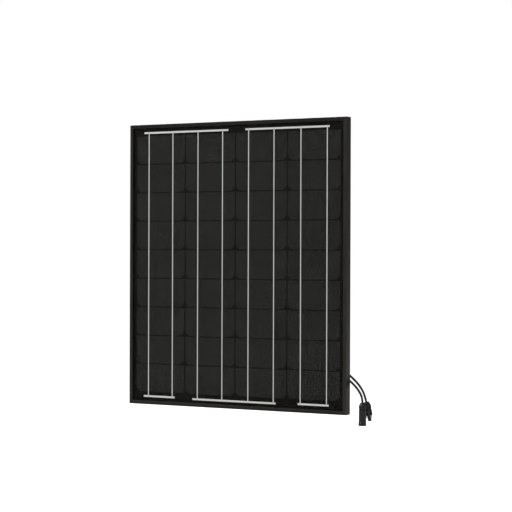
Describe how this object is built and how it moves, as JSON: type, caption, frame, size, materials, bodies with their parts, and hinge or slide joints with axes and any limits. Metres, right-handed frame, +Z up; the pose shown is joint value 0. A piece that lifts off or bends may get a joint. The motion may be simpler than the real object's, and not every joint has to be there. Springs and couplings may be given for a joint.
{
  "type": "solar panel",
  "caption": "Framed photovoltaic panel of half-cut cells in a black aluminium frame, with a hinged-lid junction box behind and two connector leads at the lower right.",
  "frame": {"origin": "centre of the four mounting holes, on the rear face of the frame", "axes": "+X right seen from the front, +Y out of the back along the mounting screws, +Z up; the glass faces -Y"},
  "size_m": [0.7213, 0.0626, 0.8083],
  "materials": {
    "anodised_frame": "black anodised, satin",
    "corner_key": "mill finish",
    "sealant": "matt black silicone",
    "front_glass": "tempered low-iron, smooth",
    "clear_encapsulant": "clear film",
    "black_encapsulant": "black film",
    "backsheet": "black film, fine emboss",
    "silicon_cell": "textured silicon with a dark coating",
    "tinned_ribbon": "solder-dipped copper",
    "tinned_bus": "solder-dipped copper",
    "label_film": "satin silver film",
    "box_plastic": "moulded, fine spark texture",
    "gland_plastic": "moulded",
    "seal_rubber": "matt",
    "terminal_copper": "tinned copper strip",
    "diode_body": "moulded epoxy",
    "lead_sheath": "satin cross-linked sheath",
    "connector_plastic": "moulded, satin",
    "contact_metal": "tinned copper"
  },
  "bodies": {
    "panel": {"frame_side_left": "anodised_frame", "frame_side_right": "anodised_frame", "frame_side_top": "anodised_frame", "frame_side_bottom": "anodised_frame", "corner_key_bottom_left": "corner_key", "corner_key_bottom_right": "corner_key", "corner_key_top_left": "corner_key", "corner_key_top_right": "corner_key", "edge_seal": "sealant", "front_glass": "front_glass", "front_encapsulant": "clear_encapsulant", "rear_encapsulant": "black_encapsulant", "backsheet": "backsheet", "cell_string_1": "silicon_cell", "cell_string_2": "silicon_cell", "cell_string_3": "silicon_cell", "cell_string_4": "silicon_cell", "cell_ribbons_1": "tinned_ribbon", "cell_ribbons_2": "tinned_ribbon", "cell_ribbons_3": "tinned_ribbon", "cell_ribbons_4": "tinned_ribbon", "bus_ribbon_top_left": "tinned_bus", "bus_ribbon_top_right": "tinned_bus", "bus_ribbon_bottom_left": "tinned_bus", "bus_ribbon_bottom_centre": "tinned_bus", "bus_ribbon_bottom_right": "tinned_bus", "leadout_negative": "tinned_bus", "leadout_middle": "tinned_bus", "leadout_positive": "tinned_bus", "rating_label": "label_film", "junction_box_base": "box_plastic", "gland_nut_positive": "gland_plastic", "gland_nut_negative": "gland_plastic", "junction_box_gasket": "seal_rubber", "gland_seal_positive": "seal_rubber", "gland_seal_negative": "seal_rubber", "plug_seal": "seal_rubber", "socket_seal": "seal_rubber", "plug_o_ring": "seal_rubber", "junction_box_adhesive": "sealant", "terminal_negative": "terminal_copper", "terminal_middle": "terminal_copper", "terminal_positive": "terminal_copper", "bypass_diode_1": "diode_body", "bypass_diode_2": "diode_body", "lead_positive": "lead_sheath", "lead_negative": "lead_sheath", "plug_body": "connector_plastic", "socket_body": "connector_plastic", "plug_nut": "connector_plastic", "socket_nut": "connector_plastic", "plug_contact": "contact_metal", "socket_contact": "contact_metal"},
    "lid": {"junction_box_lid": "box_plastic"}
  },
  "joints": [
    {"name": "lid_hinge", "type": "hinge", "parent": "panel", "child": "lid", "pos_m": [0, -0.0029, -0.197], "axis": [1, 0, 0], "range_deg": [0, 110]}
  ]
}
